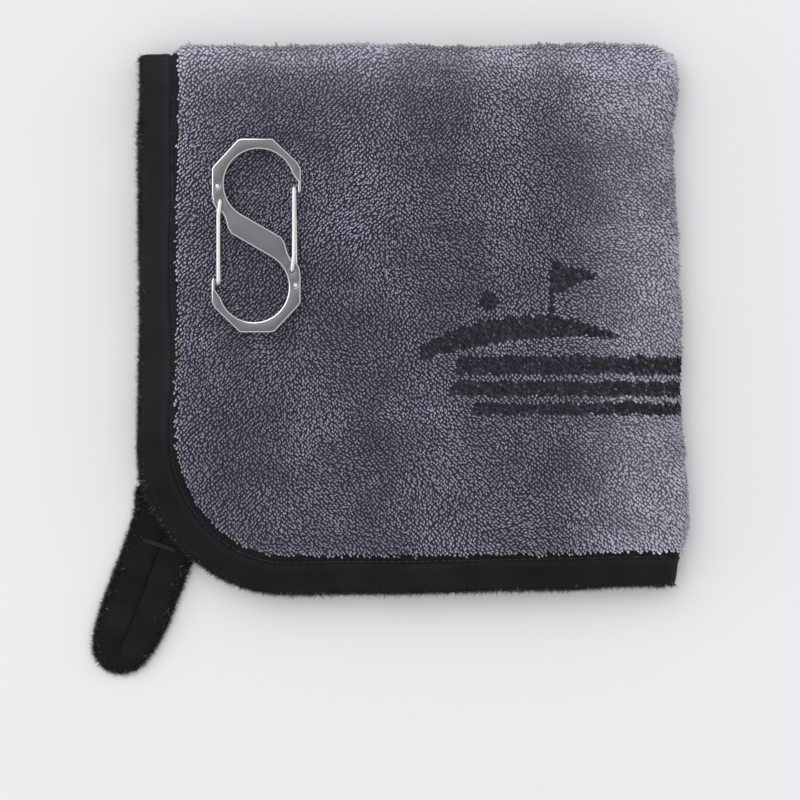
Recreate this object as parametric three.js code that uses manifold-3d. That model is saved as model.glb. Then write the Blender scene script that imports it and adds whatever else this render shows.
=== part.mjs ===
// A bound pile golf towel, folded in quarters, with a hanging loop at its corner and a steel
// S carabiner with two wire gates lying on it. Millimetres, +Z up, resting on the plane Z = 0.

import * as THREE from 'three';
import { mergeVertices } from 'three/addons/utils/BufferGeometryUtils.js';
import Module from 'manifold-3d';

const wasm = await Module();
wasm.setup();

// ---- Driving dimensions ----

// Clearances
const fitGap = 0.3; // air between two pieces that fit together
const layerGap = 0.4; // air between two folded layers

// Towel, measured open and flat from bound edge to bound edge
const towelWidth = 397;
const towelHeight = 403;
const clothThickness = 3; // ground cloth with the pile of both its faces
const cornerRadius = 55;

// Edge binding: a knit tape folded round the cloth's edge
const bindingWidth = 14;
const tapeThickness = 0.9;
const seamInset = 11; // outer edge of the binding to the thread of its seam
const threadWidth = 0.9;
const threadThickness = 0.35;

// Hanging loop: one length of tape, doubled side by side and sewn into the binding
const loopWidth = 25.3; // over both legs
const loopReach = 99.5; // centre of the towel's corner to the loop's far end
const loopSlit = 1.5; // between the two legs
const loopEndWidth = 7.2; // tape left past the slit's end
const loopRootAngle = 213; // degrees, where the loop leaves the corner
const loopAimAngle = 250.8; // degrees, where the loop points
const rootMargin = 3; // binding's edge to the line that the loop swings about
const rootTabDepth = 8; // how far the loop's pressed ends reach into the binding
const tackLength = 12;
const tackWidth = 1.8;
const tackThickness = 0.6;

// Carabiner
const plateThickness = 2.6;
const ringRadius = 12.7;
const wireDiameter = 1.5;
const carabinerFromLeft = 42.9; // bound left edge to the plate's centre
const carabinerFromBottom = 131.1; // bound bottom edge to the plate's centre

// Roundness of the facets
const cornerSteps = 8;
const foldSteps = 3; // on each quarter turn of a fold
const ringSteps = 18;
const wireSides = 8;
const bendSteps = 3;

// ---- Sizes worked out from them ----

const pitch = clothThickness + layerGap;
const halfPitch = pitch / 2;
const halfCloth = clothThickness / 2;
const stackHeight = 4 * clothThickness + 3 * layerGap;
const foldZ = stackHeight / 2;
const foldX = (towelWidth - Math.PI * pitch) / 2;
const foldY = (towelHeight - Math.PI * halfPitch) / 2;
const beyond = 20; // how far the cutting shapes run past what they cut
const slotThickness = clothThickness - 2 * tapeThickness;
const tongueThickness = slotThickness - 2 * fitGap;
const wireRadius = wireDiameter / 2;
const holeRadius = wireRadius + fitGap;

// ---- Solids ----

function solidOf(geometry) {
  const bare = geometry.clone();
  bare.deleteAttribute('normal');
  bare.deleteAttribute('uv');
  const merged = mergeVertices(bare);
  return new wasm.Manifold(new wasm.Mesh({
    numProp: 3,
    vertProperties: new Float32Array(merged.attributes.position.array),
    triVerts: new Uint32Array(merged.index.array),
  }));
}

function geometryOf(manifold) {
  const mesh = manifold.getMesh();
  const geometry = new THREE.BufferGeometry();
  geometry.setAttribute('position', new THREE.BufferAttribute(mesh.vertProperties, 3));
  geometry.setIndex(new THREE.BufferAttribute(mesh.triVerts, 1));
  const faceted = geometry.toNonIndexed();
  faceted.computeVertexNormals();
  return faceted;
}

// A shape in plan, drawn up from one height to another.
function prism(shape, bottom, top, steps = cornerSteps) {
  const geometry = new THREE.ExtrudeGeometry(shape, {
    depth: top - bottom,
    bevelEnabled: false,
    curveSegments: steps,
  });
  geometry.translate(0, 0, bottom);
  return solidOf(geometry);
}

// A path for an extrusion that steps from station to station, so a straight run takes one step.
class StationPath extends THREE.Curve {
  constructor(stations) {
    super();
    this.stations = stations;
  }

  stationAt(u) {
    return this.stations[Math.round(u * (this.stations.length - 1))];
  }

  getPointAt(u) {
    return this.stationAt(u).point.clone();
  }

  getTangentAt(u) {
    return this.stationAt(u).tangent.clone();
  }
}

// Stations along straight runs between the corners, each corner rounded to the bend radius.
function bentPath(corners, bendRadius, steps) {
  const stations = [];
  const last = corners.length - 1;
  const addStation = (point, tangent) => {
    const before = stations[stations.length - 1];
    if (!before || before.point.distanceTo(point) > 1e-6) {
      stations.push({ point, tangent });
    }
  };
  const direction = (i) => corners[i + 1].clone().sub(corners[i]).normalize();
  addStation(corners[0], direction(0));
  for (let i = 1; i < last; i += 1) {
    const arriving = direction(i - 1);
    const turn = arriving.angleTo(direction(i));
    const axis = arriving.clone().cross(direction(i)).normalize();
    const toCentre = axis.clone().cross(arriving).multiplyScalar(bendRadius);
    const start = corners[i].clone().addScaledVector(arriving, -bendRadius * Math.tan(turn / 2));
    const centre = start.clone().add(toCentre);
    for (let step = 0; step <= steps; step += 1) {
      const angle = (turn * step) / steps;
      const spoke = toCentre.clone().negate().applyAxisAngle(axis, angle);
      addStation(centre.clone().add(spoke), arriving.clone().applyAxisAngle(axis, angle));
    }
  }
  addStation(corners[last], direction(last - 1));
  return new StationPath(stations);
}

function extrudeAlong(shape, path, curveSegments) {
  return solidOf(new THREE.ExtrudeGeometry(shape, {
    steps: path.stations.length - 1,
    extrudePath: path,
    curveSegments,
  }));
}

// The part of the folded cloth that lies between two depths, counted from the middle of its
// thickness towards its front face. Its profile is a hairpin over the top fold, and it runs
// from the left edge round the right fold and back.
function foldedShell(from, to) {
  const outer = halfPitch + to;
  const inner = halfPitch + from;
  const hairpin = new THREE.Shape();
  hairpin.moveTo(-outer, -beyond);
  hairpin.lineTo(-outer, foldY);
  hairpin.absarc(0, foldY, outer, Math.PI, 0, true);
  hairpin.lineTo(outer, -beyond);
  hairpin.lineTo(inner, -beyond);
  hairpin.lineTo(inner, foldY);
  hairpin.absarc(0, foldY, inner, 0, Math.PI, false);
  hairpin.lineTo(-inner, -beyond);
  hairpin.closePath();
  const route = bentPath([
    new THREE.Vector3(-beyond, 0, foldZ + pitch),
    new THREE.Vector3(foldX + pitch, 0, foldZ + pitch),
    new THREE.Vector3(foldX + pitch, 0, foldZ - pitch),
    new THREE.Vector3(-beyond, 0, foldZ - pitch),
  ], pitch, foldSteps);
  return extrudeAlong(hairpin, route, 2 * foldSteps);
}

// Everything further in than the inset from the towel's two bound edges and its corner.
function insideEdge(inset) {
  const outline = new THREE.Shape();
  const right = foldX + pitch + halfPitch + beyond;
  const top = foldY + halfPitch + beyond;
  outline.moveTo(inset, top);
  outline.lineTo(inset, cornerRadius);
  outline.absarc(cornerRadius, cornerRadius, cornerRadius - inset, Math.PI, 1.5 * Math.PI, false);
  outline.lineTo(right, inset);
  outline.lineTo(right, top);
  outline.closePath();
  return prism(outline, -beyond, stackHeight + beyond);
}

// ---- Loop, laid out in its own plan: x across it, y along it from the corner's centre ----

const loopAim = THREE.MathUtils.degToRad(loopAimAngle);
const loopSide = cornerRadius * Math.sin(THREE.MathUtils.degToRad(loopAimAngle - loopRootAngle));
const halfLoop = loopWidth / 2;
const loopHingeY = Math.sqrt(cornerRadius ** 2 - (loopSide - halfLoop) ** 2) + rootMargin;
const loopTurn = loopAim - Math.PI / 2;

function placeLoop(manifold) {
  const matrix = new THREE.Matrix4().makeRotationZ(loopTurn);
  matrix.setPosition(cornerRadius, cornerRadius, 0);
  return manifold.transform(matrix.elements);
}

function loopStrip(fromY, toY, halfWidth, bottom, top) {
  const strip = new THREE.Shape();
  strip.moveTo(loopSide - halfWidth, fromY);
  strip.lineTo(loopSide + halfWidth, fromY);
  strip.lineTo(loopSide + halfWidth, toY);
  strip.lineTo(loopSide - halfWidth, toY);
  strip.closePath();
  return prism(strip, bottom, top);
}

function cornerDisc(radius) {
  const disc = new THREE.Shape();
  disc.absarc(0, 0, radius, 0, 2 * Math.PI, false);
  return prism(disc, -beyond, beyond, 4 * cornerSteps);
}

const tabBottom = halfCloth - tongueThickness / 2;
const tabTop = halfCloth + tongueThickness / 2;
const tabFromY = (cornerRadius - rootTabDepth) / 2;

function loopWindow() {
  const window = loopStrip(
    tabFromY - fitGap,
    loopHingeY,
    halfLoop + fitGap,
    halfCloth - slotThickness / 2,
    halfCloth + slotThickness / 2,
  );
  return placeLoop(window.subtract(cornerDisc(cornerRadius - rootTabDepth - fitGap)));
}

function loopRoot() {
  const endY = loopHingeY - fitGap / 2;
  const outside = loopStrip(tabFromY, endY, halfLoop, 0, clothThickness)
    .subtract(cornerDisc(cornerRadius + fitGap));
  const tab = loopStrip(tabFromY, endY, halfLoop, tabBottom, tabTop)
    .subtract(cornerDisc(cornerRadius - rootTabDepth));
  return placeLoop(outside.add(tab).subtract(tackBar(fitGap, beyond)));
}

// The bar of close stitches, or the recess that it lies in when it is grown by a margin.
function tackBar(margin, overrun) {
  const middleY = loopHingeY - fitGap - tackWidth;
  const bar = new THREE.BoxGeometry(
    tackLength + 2 * margin,
    tackWidth + 2 * margin,
    tackThickness + margin + overrun,
  );
  bar.translate(
    loopSide,
    middleY,
    clothThickness - (tackThickness + margin - overrun) / 2,
  );
  return solidOf(bar);
}

function hangingLoop() {
  const startY = loopHingeY + fitGap / 2;
  const halfSlit = loopSlit / 2;
  const slitEndY = loopReach - loopEndWidth - halfSlit;
  const tape = new THREE.Shape();
  tape.moveTo(loopSide + halfSlit, startY);
  tape.lineTo(loopSide + halfLoop, startY);
  tape.lineTo(loopSide + halfLoop, loopReach - halfLoop);
  tape.absarc(loopSide, loopReach - halfLoop, halfLoop, 0, Math.PI, false);
  tape.lineTo(loopSide - halfLoop, startY);
  tape.lineTo(loopSide - halfSlit, startY);
  tape.lineTo(loopSide - halfSlit, slitEndY);
  tape.absarc(loopSide, slitEndY, halfSlit, Math.PI, 0, true);
  tape.closePath();
  return placeLoop(prism(tape, 0, clothThickness));
}

// ---- Towel ----

function towelCloth() {
  const pile = foldedShell(-halfCloth, halfCloth).intersect(insideEdge(bindingWidth + fitGap));
  const tongue = foldedShell(-tongueThickness / 2, tongueThickness / 2)
    .intersect(insideEdge(tapeThickness + fitGap))
    .subtract(loopWindow());
  return pile.add(tongue);
}

function seamBand(from, to, margin) {
  return foldedShell(from, to)
    .intersect(insideEdge(seamInset - margin))
    .subtract(insideEdge(seamInset + threadWidth + margin));
}

function edgeBinding() {
  const overrun = layerGap / 4;
  const grooveDepth = threadThickness + fitGap;
  const slot = foldedShell(-slotThickness / 2, slotThickness / 2)
    .intersect(insideEdge(tapeThickness));
  return foldedShell(-halfCloth, halfCloth)
    .intersect(insideEdge(0))
    .subtract(insideEdge(bindingWidth))
    .subtract(slot)
    .subtract(seamBand(halfCloth - grooveDepth, halfCloth + overrun, fitGap))
    .subtract(seamBand(-halfCloth - overrun, grooveDepth - halfCloth, fitGap))
    .subtract(loopWindow());
}

function needleThread() {
  return seamBand(halfCloth - threadThickness, halfCloth, 0);
}

function bobbinThread() {
  return seamBand(-halfCloth, threadThickness - halfCloth, 0);
}

// ---- Carabiner, about the middle of its plate ----

const plateTop = plateThickness / 2;
const legHeight = plateTop + fitGap + wireRadius;
const gateHinge = new THREE.Vector2(-13.1, 12.9); // front leg's hole, for the lower gate
const gateAnchor = new THREE.Vector2(-14.3, 18.1); // back leg's hole, for the lower gate
const gateNose = new THREE.Vector2(-13.8, -17.4);
const ringCentre = new THREE.Vector2(0.9, 18.9);
const spineSlope = THREE.MathUtils.degToRad(-30);
const spineEndX = 8;
const halfTurn = new THREE.Matrix4().makeRotationZ(Math.PI);

// One half of the S, from the upper hook's tip to the lower hook's tip. The other half is the
// same outline turned half round.
function halfPlateOutline() {
  const ring = new THREE.Path();
  ring.absarc(
    ringCentre.x,
    ringCentre.y,
    ringRadius,
    THREE.MathUtils.degToRad(17),
    THREE.MathUtils.degToRad(240),
    false,
  );
  const arc = ring.getPoints(ringSteps);
  const arcEnd = arc[arc.length - 1];
  const spineDrop = (spineEndX - arcEnd.x) * Math.tan(spineSlope);
  const point = (x, y) => new THREE.Vector2(x, y);
  return [
    point(15.1, 15.9),
    point(15.2, 19.6),
    ...arc,
    point(spineEndX, arcEnd.y + spineDrop),
    point(9.5, -1.5),
    point(10.6, -3.4),
    point(11.5, -6.7),
    point(12.6, -8.6),
    point(15.1, -10.3),
    point(15.9, -11.8),
    point(16.3, -14.8),
    point(16.3, -24.4),
    point(15.6, -25.6),
    point(6.8, -35.1),
    point(5.2, -35.5),
    point(-6, -35.5),
    point(-15.2, -26.7),
    point(-16.4, -24.3),
    point(-16.4, -16.6),
    point(-16, -15.4),
  ];
}

function carabinerFrame() {
  const half = halfPlateOutline();
  const other = half.map((p) => p.clone().negate());
  const plate = prism(new THREE.Shape([...half, ...other]), -plateTop, plateTop);
  const drill = (place) => {
    const hole = new THREE.Shape();
    hole.absarc(place.x, place.y, holeRadius, 0, 2 * Math.PI, false);
    return prism(hole, -beyond, beyond, 2 * wireSides);
  };
  const holes = drill(gateHinge).add(drill(gateAnchor));
  return plate.subtract(holes).subtract(holes.transform(halfTurn.elements));
}

// Each bend starts level with the plate's face, so the wire stands straight in its hole.
function wireAlong(corners) {
  const section = new THREE.Shape();
  section.absarc(0, 0, wireRadius, 0, 2 * Math.PI, false);
  return extrudeAlong(section, bentPath(corners, legHeight - plateTop, bendSteps), wireSides);
}

const backLegSplit = 0.8; // gate's hinge line to the cut ends of its back leg, along the leg

// Where the back leg's centre line crosses a height.
function backLegAt(y) {
  const share = (y - gateNose.y) / (gateAnchor.y - gateNose.y);
  return new THREE.Vector3(
    THREE.MathUtils.lerp(gateNose.x, gateAnchor.x, share),
    y,
    -legHeight,
  );
}

// Pivot end in the plate, front leg, nose across the plate's edge, back leg to the hinge line.
function gateWire() {
  return wireAlong([
    new THREE.Vector3(gateHinge.x, gateHinge.y, fitGap - plateTop),
    new THREE.Vector3(gateHinge.x, gateHinge.y, legHeight),
    new THREE.Vector3(gateNose.x, gateHinge.y - 4 * wireDiameter, legHeight),
    new THREE.Vector3(gateNose.x, gateNose.y, legHeight),
    new THREE.Vector3(gateNose.x, gateNose.y, -legHeight),
    backLegAt(gateHinge.y - backLegSplit),
  ]);
}

// The back leg's end past the hinge line, bent up into its own hole.
function gateRootWire() {
  return wireAlong([
    backLegAt(gateHinge.y + backLegSplit),
    new THREE.Vector3(gateAnchor.x, gateAnchor.y, -legHeight),
    new THREE.Vector3(gateAnchor.x, gateAnchor.y, plateTop),
  ]);
}

// ---- Assembly ----

const pileCloth = { color: 0x595563, roughness: 0.95, metalness: 0 };
const knitTape = { color: 0x242326, roughness: 0.9, metalness: 0 };
const sewingThread = { color: 0x2a292c, roughness: 0.7, metalness: 0 };
const satinSteel = { color: 0x8a878b, roughness: 0.35, metalness: 1 };
const polishedWire = { color: 0xd8d6d2, roughness: 0.18, metalness: 1 };

const towel = new THREE.Group();
const carabiner = new THREE.Group();

function addPiece(group, name, manifold, finish) {
  const mesh = new THREE.Mesh(geometryOf(manifold), new THREE.MeshStandardMaterial(finish));
  mesh.name = name;
  group.add(mesh);
  return mesh;
}

addPiece(towel, 'towel_cloth', towelCloth(), pileCloth);
addPiece(towel, 'edge_binding', edgeBinding(), knitTape);
addPiece(towel, 'seam_needle_thread', needleThread(), sewingThread);
addPiece(towel, 'seam_bobbin_thread', bobbinThread(), sewingThread);
addPiece(towel, 'loop_root', loopRoot(), knitTape);
addPiece(towel, 'loop_bar_tack', placeLoop(tackBar(0, 0)), sewingThread);
addPiece(towel, 'hanging_loop', hangingLoop(), knitTape);

addPiece(carabiner, 'carabiner_frame', carabinerFrame(), satinSteel);
addPiece(carabiner, 'lower_gate', gateWire(), polishedWire);
addPiece(carabiner, 'lower_gate_root', gateRootWire(), polishedWire);
addPiece(carabiner, 'upper_gate', gateWire(), polishedWire).rotation.z = Math.PI;
addPiece(carabiner, 'upper_gate_root', gateRootWire(), polishedWire).rotation.z = Math.PI;
carabiner.position.set(
  carabinerFromLeft,
  carabinerFromBottom,
  stackHeight + fitGap + wireRadius + legHeight,
);

// The origin is the middle of the underside of everything together.
const golfTowel = new THREE.Group();
golfTowel.add(towel, carabiner);
golfTowel.updateMatrixWorld(true);
const box = new THREE.Box3().setFromObject(golfTowel);
const middle = box.getCenter(new THREE.Vector3());
golfTowel.position.set(-middle.x, -middle.y, 0);

export default golfTowel;
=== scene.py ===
import math

import bmesh
import bpy
import numpy as np
from bpy.props import FloatProperty, FloatVectorProperty, PointerProperty
from bpy.types import Operator, Panel, PropertyGroup
from mathutils import Matrix, Vector


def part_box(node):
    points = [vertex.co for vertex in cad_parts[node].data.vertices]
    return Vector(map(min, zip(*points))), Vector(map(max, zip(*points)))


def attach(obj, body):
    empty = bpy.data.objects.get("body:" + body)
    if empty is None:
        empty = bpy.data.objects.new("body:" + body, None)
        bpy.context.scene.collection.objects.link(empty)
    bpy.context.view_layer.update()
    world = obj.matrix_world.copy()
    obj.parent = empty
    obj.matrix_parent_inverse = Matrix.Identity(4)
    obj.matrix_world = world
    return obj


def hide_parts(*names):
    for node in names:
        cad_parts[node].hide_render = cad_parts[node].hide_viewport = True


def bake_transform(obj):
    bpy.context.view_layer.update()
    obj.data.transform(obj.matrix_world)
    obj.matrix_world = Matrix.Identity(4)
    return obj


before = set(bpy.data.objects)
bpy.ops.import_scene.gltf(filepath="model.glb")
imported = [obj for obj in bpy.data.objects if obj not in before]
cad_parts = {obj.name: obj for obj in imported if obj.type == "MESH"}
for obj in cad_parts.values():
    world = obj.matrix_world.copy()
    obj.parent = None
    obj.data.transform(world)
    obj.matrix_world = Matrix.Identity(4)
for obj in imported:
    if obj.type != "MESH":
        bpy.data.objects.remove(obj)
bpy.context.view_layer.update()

bl_info = {
    "name": "Folded golf towel",
    "version": (1, 0, 0),
    "blender": (4, 5, 0),
    "location": "3D View > Sidebar > Towel",
    "description": "Makes a folded pile towel with its bound edge, hanging loop and wire gate carabiner",
    "category": "Object",
}

MM = 0.001
TAU = 2.0 * math.pi

BOUND_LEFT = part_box("edge_binding")[0].x
BOUND_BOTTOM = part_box("edge_binding")[0].y
STACK_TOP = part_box("towel_cloth")[1].z
PLATE_LOW, PLATE_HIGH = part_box("carabiner_frame")
PLATE_MIDDLE = (PLATE_LOW + PLATE_HIGH) / 2


# ---- Sizes and colours that a maker would change ----


class TowelSizes(PropertyGroup):
    width: FloatProperty(
        name="Open width", description="Towel laid open, from bound edge to bound edge across",
        default=0.397, unit="LENGTH")
    height: FloatProperty(
        name="Open height", description="Towel laid open, from bound edge to bound edge up",
        default=0.403, unit="LENGTH")
    pitch: FloatProperty(
        name="Layer pitch", description="From the middle of one folded layer to the next",
        default=0.0034, unit="LENGTH")
    corner: FloatProperty(
        name="Corner radius", description="Radius of the towel's four bound corners",
        default=0.055, unit="LENGTH")
    ground: FloatProperty(
        name="Ground cloth", description="Thickness of the knitted ground without its pile",
        default=0.001, unit="LENGTH")
    pile_pitch: FloatProperty(
        name="Tuft spacing", description="From one pile tuft to the next on the faces that show",
        default=0.00119, unit="LENGTH")
    pile_height: FloatProperty(
        name="Pile height", description="Height of the pile over the ground cloth",
        default=0.00115, unit="LENGTH")
    seam_inset: FloatProperty(
        name="Seam inset", description="From the binding's outer edge to its seam",
        default=0.01145, unit="LENGTH")


class LoopSizes(PropertyGroup):
    leg_width: FloatProperty(
        name="Leg width", description="Width of each of the loop's two legs",
        default=0.0123, unit="LENGTH")
    thickness: FloatProperty(
        name="Thickness", description="Thickness of the doubled tape",
        default=0.0027, unit="LENGTH")
    reach: FloatProperty(
        name="Reach", description="From the centre of the towel's corner to the loop's far end",
        default=0.1027, unit="LENGTH")
    side: FloatProperty(
        name="Side offset", description="From the corner's centre to the loop's middle line",
        default=0.03371, unit="LENGTH")
    hinge: FloatProperty(
        name="Hinge line", description="From the corner's centre to the line that the loop swings about",
        default=0.053808, unit="LENGTH")
    aim: FloatProperty(
        name="Aim", description="Direction that the loop points in, from the towel's bottom edge",
        default=math.radians(250.8), subtype="ANGLE")


class CarabinerSizes(PropertyGroup):
    ring: FloatProperty(
        name="Ring radius", description="Inside radius of each hook",
        default=0.0127, unit="LENGTH")
    edge: FloatProperty(
        name="Edge bevel", description="Width of the polished bevel round the plate's rims",
        default=0.00052, unit="LENGTH")
    wire: FloatProperty(
        name="Wire", description="Diameter of the spring wire",
        default=0.0015, unit="LENGTH")
    hole: FloatProperty(
        name="Wire hole", description="Radius of the holes that the wire ends sit in",
        default=0.00105, unit="LENGTH")


class Finishes(PropertyGroup):
    pile_tip: FloatVectorProperty(
        name="Pile tips", description="Colour of the tufts at their tips",
        default=(0.306, 0.283, 0.372), subtype="COLOR", size=3, min=0, max=1)
    # painted shade: the dark root colour stands in for the shade deep between the tufts, and the ground
    # cloth is coloured from it too
    pile_root_shade: FloatVectorProperty(
        name="Pile roots", description="Colour of the tufts where they leave the ground cloth",
        default=(0.030, 0.027, 0.038), subtype="COLOR", size=3, min=0, max=1)
    printed: FloatVectorProperty(
        name="Printed motif", description="Colour of the pile where the motif is printed",
        default=(0.0105, 0.0100, 0.0125), subtype="COLOR", size=3, min=0, max=1)
    tape: FloatVectorProperty(
        name="Tape", description="Colour of the knit binding tape",
        default=(0.0060, 0.0058, 0.0063), subtype="COLOR", size=3, min=0, max=1)
    thread: FloatVectorProperty(
        name="Thread", description="Colour of the sewing thread",
        default=(0.0060, 0.0060, 0.0066), subtype="COLOR", size=3, min=0, max=1)
    steel: FloatVectorProperty(
        name="Steel", description="Colour of the plate's blasted faces",
        default=(0.215, 0.208, 0.222), subtype="COLOR", size=3, min=0, max=1)
    wire: FloatVectorProperty(
        name="Wire", description="Colour of the polished wire",
        default=(0.86, 0.85, 0.83), subtype="COLOR", size=3, min=0, max=1)
    floor: FloatVectorProperty(
        name="Floor", description="Colour of the plain floor",
        default=(0.80, 0.787, 0.793), subtype="COLOR", size=3, min=0, max=1)


# ---- Small sums ----


def smooth(t):
    """Rises from 0 to 1 as t does, level at both ends."""
    t = np.clip(t, 0.0, 1.0)
    return t * t * (3.0 - 2.0 * t)


def ripple(x, y, wavelength, seed, waves=9):
    """Gentle rises and falls over a plane, mostly between -1 and 1, about a wavelength apart."""
    rng = np.random.default_rng(seed)
    total = np.zeros(np.broadcast(x, y).shape)
    for _ in range(waves):
        heading = rng.uniform(0.0, TAU)
        turns = TAU / (wavelength * rng.uniform(0.7, 1.6))
        along = x * math.cos(heading) + y * math.sin(heading)
        total = total + np.sin(turns * along + rng.uniform(0.0, TAU))
    return total / math.sqrt(waves)


def spaced(breaks):
    """Values from the first break to the last, at the step given for each stretch between them."""
    values = [breaks[0][0]]
    for (start, step), (end, _) in zip(breaks, breaks[1:]):
        steps = max(1, round((end - start) / step))
        values.extend(start + (end - start) * (i + 1) / steps for i in range(steps))
    return np.array(values)


def pull_in_corner(x, y, centre_x, centre_y, reach_x, reach_y):
    """Presses a square corner of a layout into a round one."""
    u = (x - centre_x) / reach_x
    v = (y - centre_y) / reach_y
    inside = (u > 1e-6) & (v > 1e-6)
    length = np.hypot(u, v)
    scale = np.where(inside, np.maximum(u, v) / np.where(inside, length, 1.0), 1.0)
    return centre_x + (x - centre_x) * scale, centre_y + (y - centre_y) * scale


def inset_from_edges(from_side, from_end, corner):
    """Distance from the nearer of two edges, or from the round corner between them."""
    in_corner = (from_side < corner) & (from_end < corner)
    from_corner = corner - np.hypot(corner - from_side, corner - from_end)
    return np.where(in_corner, from_corner, np.minimum(from_side, from_end))


# ---- How the towel is folded ----


class Fold:
    """Takes a place on the open towel to its place on the folded one.

    a runs from the left bound edge over the right fold and back, b from the bottom bound edge
    over the top fold and back, and n out of the cloth's middle towards its front face.
    """

    RIGHT_DRIFT_Y = np.array([-90, -84, -78, -73, -67, -60, -46, -28, -14, 15, 29, 50, 64, 85, 96, 120]) * MM
    RIGHT_DRIFT = np.array([
        -2.2, -2.0, -1.3, 0.2, 1.3, 2.3, 1.8, -0.1, -0.7, -0.3, -1.4, -1.9, -3.2, -3.7, -2.0, -1.5]) * MM
    BOTTOM_DRIFT_X = np.array([-100, -60, -35, 4, 40, 68, 89, 103, 115]) * MM
    BOTTOM_DRIFT = np.array([0, -0.7, -0.2, 0.0, 1.1, 1.4, 3.0, 2.8, 2.8]) * MM

    def __init__(self, sizes):
        self.width = sizes.width
        self.height = sizes.height
        self.pitch = sizes.pitch
        self.half_pitch = sizes.pitch / 2
        self.corner = sizes.corner
        self.middle_z = STACK_TOP / 2
        self.side_start = (self.width - math.pi * self.pitch) / 2
        self.side_end = self.width - self.side_start
        self.top_start = (self.height - math.pi * self.half_pitch) / 2
        self.top_end = self.height - self.top_start

    def columns(self, step, fine, start, end):
        """Distances across the open towel, closer together over the right fold."""
        return spaced([
            (start, step), (self.side_start - 0.002, fine), (self.side_end + 0.002, step), (end, step)])

    def rows(self, step, fine, start, end):
        """Distances up the open towel, closer together over the top fold."""
        return spaced([
            (start, step), (self.top_start - 0.0016, fine), (self.top_end + 0.0016, step), (end, step)])

    def lay(self, a, b, n):
        """Places on the folded towel for places on the open one."""
        over = np.clip((b - self.top_start) / self.half_pitch, 0.0, math.pi)
        depth = self.half_pitch + n
        y = np.minimum(b, self.top_start) + depth * np.sin(over) - np.maximum(b - self.top_end, 0.0)
        lift = depth * np.cos(over)
        round_side = np.clip((a - self.side_start) / self.pitch, 0.0, math.pi)
        radius = self.pitch + lift
        x = np.minimum(a, self.side_start) + radius * np.sin(round_side) - np.maximum(a - self.side_end, 0.0)
        z = self.middle_z + radius * np.cos(round_side)
        return np.stack(self.settle(x + BOUND_LEFT, y + BOUND_BOTTOM, z), axis=-1)

    def settle(self, x, y, z):
        """Moves the squarely folded layers to where soft cloth comes to lie."""
        height = z / STACK_TOP
        low = np.clip(1.0 - height, 0.0, 1.0)
        edge = inset_from_edges(x - BOUND_LEFT, y - BOUND_BOTTOM, self.corner)
        near_right = smooth((x - 0.030) / 0.072)
        near_top = smooth((y - 0.088) / 0.024)
        near_bottom = smooth((-0.058 - y) / 0.026)
        near_left = smooth((-0.060 - x) / 0.026)
        drift_x = near_right * np.interp(y, self.RIGHT_DRIFT_Y, self.RIGHT_DRIFT)
        hollow = 1.0 - 0.75 * np.exp(-(((y - 0.038) / 0.026) ** 2))
        drift_x -= near_left * low * (1.0 - smooth((y - 0.084) / 0.014)) * hollow * 1.5 * MM
        drift_x -= near_left * low * np.exp(-(((y + 0.052) / 0.013) ** 2)) * 2.4 * MM
        drift_x += near_left * 0.35 * MM * ripple(y, z * 14, 0.055, 31)
        drift_y = near_bottom * np.interp(x, self.BOTTOM_DRIFT_X, self.BOTTOM_DRIFT)
        drift_y += near_bottom * 0.25 * MM * ripple(x, z * 14, 0.050, 32)
        drift_y += near_top * 0.45 * MM * ripple(x, z * 3, 0.060, 33)
        drift_y -= near_top * smooth((-0.0735 - x) / 0.006) * 2.9 * MM
        # the stack is thinner over its bound edges, and lies in slow swells
        squeeze = 1.0 - 0.13 * (1.0 - smooth((edge - 0.002) / 0.020))
        swell = 0.42 * MM * ripple(x, y, 0.075, 34) + 0.22 * MM * ripple(x, y, 0.030, 35)
        under_plate = np.exp(-(((x - PLATE_MIDDLE.x) / 0.024) ** 4 + ((y - PLATE_MIDDLE.y) / 0.044) ** 4))
        swell = swell * (1.0 - 0.85 * under_plate) - 0.55 * MM * under_plate
        z = z * squeeze + swell * height ** 1.5
        x, y = pull_in_corner(x, y, 0.0980, 0.1043, 0.0090, 0.0110)
        return x + drift_x, y + drift_y, z

    def axes(self, a, b, n):
        """Where a place on the open towel lies, and its ways across, up and out of the cloth there."""
        step = 0.3 * MM
        here = self.lay(a, b, n)
        across = self.lay(a + step, b, n) - here
        up = self.lay(a, b + step, n) - here
        across /= np.linalg.norm(across, axis=-1, keepdims=True)
        up -= across * np.sum(across * up, axis=-1, keepdims=True)
        up /= np.linalg.norm(up, axis=-1, keepdims=True)
        return here, across, up, np.cross(across, up)

    def outline(self, s, inset):
        """A place on the open towel, s round its bound edge and inset from it, and its outward way."""
        radius = self.corner
        straight_a = self.width - 2 * radius
        straight_b = self.height - 2 * radius
        place = np.zeros((2, s.size))
        out = np.zeros((2, s.size))
        start = 0.0
        sides = (
            (straight_b, (radius, self.height - radius), (0, -1), (-1, 0)),
            (straight_a, (radius, radius), (1, 0), (0, -1)),
            (straight_b, (self.width - radius, radius), (0, 1), (1, 0)),
            (straight_a, (self.width - radius, self.height - radius), (-1, 0), (0, 1)),
        )
        for length, centre, along, outward in sides:
            centre, along, outward = (np.array(way)[:, None] for way in (centre, along, outward))
            run = s - start
            here = (run >= 0) & (run <= length)
            place[:, here] = centre + along * run[here] + outward * (radius - inset[here])
            out[:, here] = outward
            start += length
            turn = (s - start) / radius
            here = (turn > 0) & (turn < math.pi / 2)
            spoke = outward * np.cos(turn[here]) + along * np.sin(turn[here])
            place[:, here] = centre + along * length + spoke * (radius - inset[here])
            out[:, here] = spoke
            start += math.pi / 2 * radius
        return *place, *out

    def outline_length(self):
        return 2 * (self.width + self.height) - 8 * self.corner + TAU * self.corner


# ---- Making pieces ----


def mesh_from(bm, name):
    mesh = bpy.data.meshes.new(name)
    bm.to_mesh(mesh)
    bm.free()
    return mesh


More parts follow.
